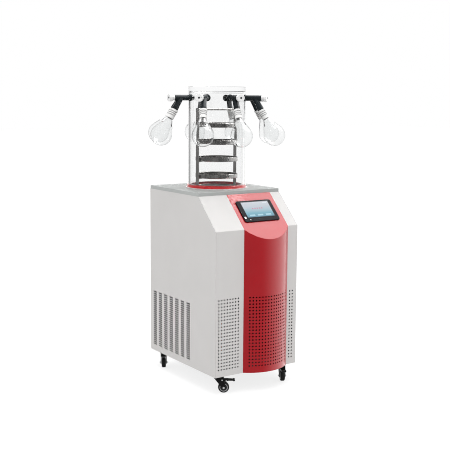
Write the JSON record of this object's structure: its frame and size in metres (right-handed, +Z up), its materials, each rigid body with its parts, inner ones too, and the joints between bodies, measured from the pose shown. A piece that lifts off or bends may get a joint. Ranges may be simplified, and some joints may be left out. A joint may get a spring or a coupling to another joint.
{
  "type": "floor-standing manifold freeze dryer",
  "caption": "Floor-standing freeze dryer on casters: clear chamber with shelf trays, a ring of vacuum valves with hanging flasks, and a cabinet with a sloped touch panel and perforated covers.",
  "frame": {"origin": "on the floor, under the middle of the unit's outline", "axes": "+Z up, front towards -Y, +X to the right seen from the front"},
  "size_m": [0.6502, 0.7062, 1.3663],
  "materials": {
    "grey_paint": "powder coat, light grey",
    "red_paint": "satin red",
    "stainless": "brushed",
    "copper": "drawn tube",
    "black_paint": "satin black",
    "aluminium": "mill",
    "black_plastic": "moulded",
    "white_plastic": "moulded",
    "wheel_rubber": "tread",
    "seal_rubber": "moulded silicone",
    "acrylic": "clear, polished",
    "flask_glass": "clear",
    "display": "dark glass over a lit screen"
  },
  "bodies": {
    "cabinet": {"base_pan": "grey_paint", "left_side_panel": "grey_paint", "right_side_panel": "grey_paint", "rear_panel": "grey_paint", "front_left_panel": "grey_paint", "front_center_panel": "red_paint", "front_right_panel": "grey_paint", "top_plate": "grey_paint", "screen_bezel": "black_plastic", "display_glass": "display", "cold_trap_well": "stainless", "evaporator_coil": "copper", "vacuum_port": "stainless", "compressor": "black_paint", "condenser_core": "aluminium", "power_inlet": "black_plastic", "chamber_gasket": "seal_rubber", "shelf_rack": "stainless", "tray_1": "stainless", "tray_2": "stainless", "tray_3": "stainless", "tray_4": "stainless"},
    "drying_chamber": {"chamber_cylinder": "acrylic", "valve_body_1": "black_plastic", "valve_body_2": "black_plastic", "valve_body_3": "black_plastic", "valve_body_4": "black_plastic", "valve_body_5": "black_plastic", "valve_body_6": "black_plastic", "valve_body_7": "black_plastic", "valve_body_8": "black_plastic", "flask_1": "flask_glass", "flask_2": "flask_glass", "flask_3": "flask_glass", "flask_4": "flask_glass", "flask_5": "flask_glass", "flask_6": "flask_glass", "flask_7": "flask_glass", "flask_8": "flask_glass"},
    "lid": {"chamber_lid": "acrylic"},
    "fan": {"fan_rotor": "black_plastic"},
    "rocker": {"power_switch": "black_plastic"},
    "knob_1": {"valve_knob_1": "white_plastic"},
    "knob_2": {"valve_knob_2": "white_plastic"},
    "knob_3": {"valve_knob_3": "white_plastic"},
    "knob_4": {"valve_knob_4": "white_plastic"},
    "knob_5": {"valve_knob_5": "white_plastic"},
    "knob_6": {"valve_knob_6": "white_plastic"},
    "knob_7": {"valve_knob_7": "white_plastic"},
    "knob_8": {"valve_knob_8": "white_plastic"},
    "front_left_caster": {"caster_fork_front_left": "black_paint"},
    "front_left_wheel": {"caster_wheel_front_left": "wheel_rubber"},
    "front_right_caster": {"caster_fork_front_right": "black_paint"},
    "front_right_wheel": {"caster_wheel_front_right": "wheel_rubber"},
    "rear_left_caster": {"caster_fork_rear_left": "black_paint"},
    "rear_left_wheel": {"caster_wheel_rear_left": "wheel_rubber"},
    "rear_right_caster": {"caster_fork_rear_right": "black_paint"},
    "rear_right_wheel": {"caster_wheel_rear_right": "wheel_rubber"},
    "front_left_pedal": {"brake_pedal_front_left": "black_paint"},
    "front_right_pedal": {"brake_pedal_front_right": "black_paint"}
  },
  "joints": [
    {"name": "chamber_lift", "type": "slide", "parent": "cabinet", "child": "drying_chamber", "axis": [0, 0, 1], "range_m": [0, 0.46]},
    {"name": "lid_lift", "type": "slide", "parent": "drying_chamber", "child": "lid", "axis": [0, 0, 1], "range_m": [0, 0.1]},
    {"name": "valve_knob_1_turn", "type": "hinge", "parent": "drying_chamber", "child": "knob_1", "pos_m": [0, 0.02975, 1.315], "axis": [-0.1305, -0.9914, 0], "range_deg": [0, 180]},
    {"name": "valve_knob_2_turn", "type": "hinge", "parent": "drying_chamber", "child": "knob_2", "pos_m": [0, 0.02975, 1.315], "axis": [0.6088, -0.7934, 0], "range_deg": [0, 180]},
    {"name": "valve_knob_3_turn", "type": "hinge", "parent": "drying_chamber", "child": "knob_3", "pos_m": [0, 0.02975, 1.315], "axis": [0.9914, -0.1305, 0], "range_deg": [0, 180]},
    {"name": "valve_knob_4_turn", "type": "hinge", "parent": "drying_chamber", "child": "knob_4", "pos_m": [0, 0.02975, 1.315], "axis": [0.7934, 0.6088, 0], "range_deg": [0, 180]},
    {"name": "valve_knob_5_turn", "type": "hinge", "parent": "drying_chamber", "child": "knob_5", "pos_m": [0, 0.02975, 1.315], "axis": [0.1305, 0.9914, 0], "range_deg": [0, 180]},
    {"name": "valve_knob_6_turn", "type": "hinge", "parent": "drying_chamber", "child": "knob_6", "pos_m": [0, 0.02975, 1.315], "axis": [-0.6088, 0.7934, 0], "range_deg": [0, 180]},
    {"name": "valve_knob_7_turn", "type": "hinge", "parent": "drying_chamber", "child": "knob_7", "pos_m": [0, 0.02975, 1.315], "axis": [-0.9914, 0.1305, 0], "range_deg": [0, 180]},
    {"name": "valve_knob_8_turn", "type": "hinge", "parent": "drying_chamber", "child": "knob_8", "pos_m": [0, 0.02975, 1.315], "axis": [-0.7934, -0.6088, 0], "range_deg": [0, 180]},
    {"name": "front_left_swivel", "type": "hinge", "parent": "cabinet", "child": "front_left_caster", "pos_m": [-0.18, -0.26225, 0.07], "axis": [0, 0, 1], "continuous": true},
    {"name": "front_left_wheel_roll", "type": "hinge", "parent": "front_left_caster", "child": "front_left_wheel", "pos_m": [-0.15845, -0.27679, 0.025], "axis": [0.5592, 0.829, 0], "continuous": true},
    {"name": "front_left_brake", "type": "hinge", "parent": "front_left_caster", "child": "front_left_pedal", "pos_m": [-0.16425, -0.27288, 0.06], "axis": [0.5592, 0.829, 0], "range_deg": [0, 8]},
    {"name": "front_right_swivel", "type": "hinge", "parent": "cabinet", "child": "front_right_caster", "pos_m": [0.18, -0.26225, 0.07], "axis": [0, 0, 1], "continuous": true},
    {"name": "front_right_wheel_roll", "type": "hinge", "parent": "front_right_caster", "child": "front_right_wheel", "pos_m": [0.16779, -0.28521, 0.025], "axis": [0.8829, -0.4695, 0], "continuous": true},
    {"name": "front_right_brake", "type": "hinge", "parent": "front_right_caster", "child": "front_right_pedal", "pos_m": [0.17108, -0.27903, 0.06], "axis": [0.8829, -0.4695, 0], "range_deg": [0, 8]},
    {"name": "rear_left_swivel", "type": "hinge", "parent": "cabinet", "child": "rear_left_caster", "pos_m": [-0.18, 0.22375, 0.07], "axis": [0, 0, 1], "continuous": true},
    {"name": "rear_left_wheel_roll", "type": "hinge", "parent": "rear_left_caster", "child": "rear_left_wheel", "pos_m": [-0.19221, 0.20079, 0.025], "axis": [0.8829, -0.4695, 0], "continuous": true},
    {"name": "rear_right_swivel", "type": "hinge", "parent": "cabinet", "child": "rear_right_caster", "pos_m": [0.18, 0.22375, 0.07], "axis": [0, 0, 1], "continuous": true},
    {"name": "rear_right_wheel_roll", "type": "hinge", "parent": "rear_right_caster", "child": "rear_right_wheel", "pos_m": [0.19221, 0.24671, 0.025], "axis": [-0.8829, 0.4695, 0], "continuous": true},
    {"name": "fan_spin", "type": "hinge", "parent": "cabinet", "child": "fan", "pos_m": [0, -0.22325, 0.2253], "axis": [0, 1, 0], "continuous": true},
    {"name": "power_rocker", "type": "hinge", "parent": "cabinet", "child": "rocker", "pos_m": [-0.15, 0.27005, 0.161], "axis": [1, 0, 0], "range_deg": [-12, 0]}
  ]
}
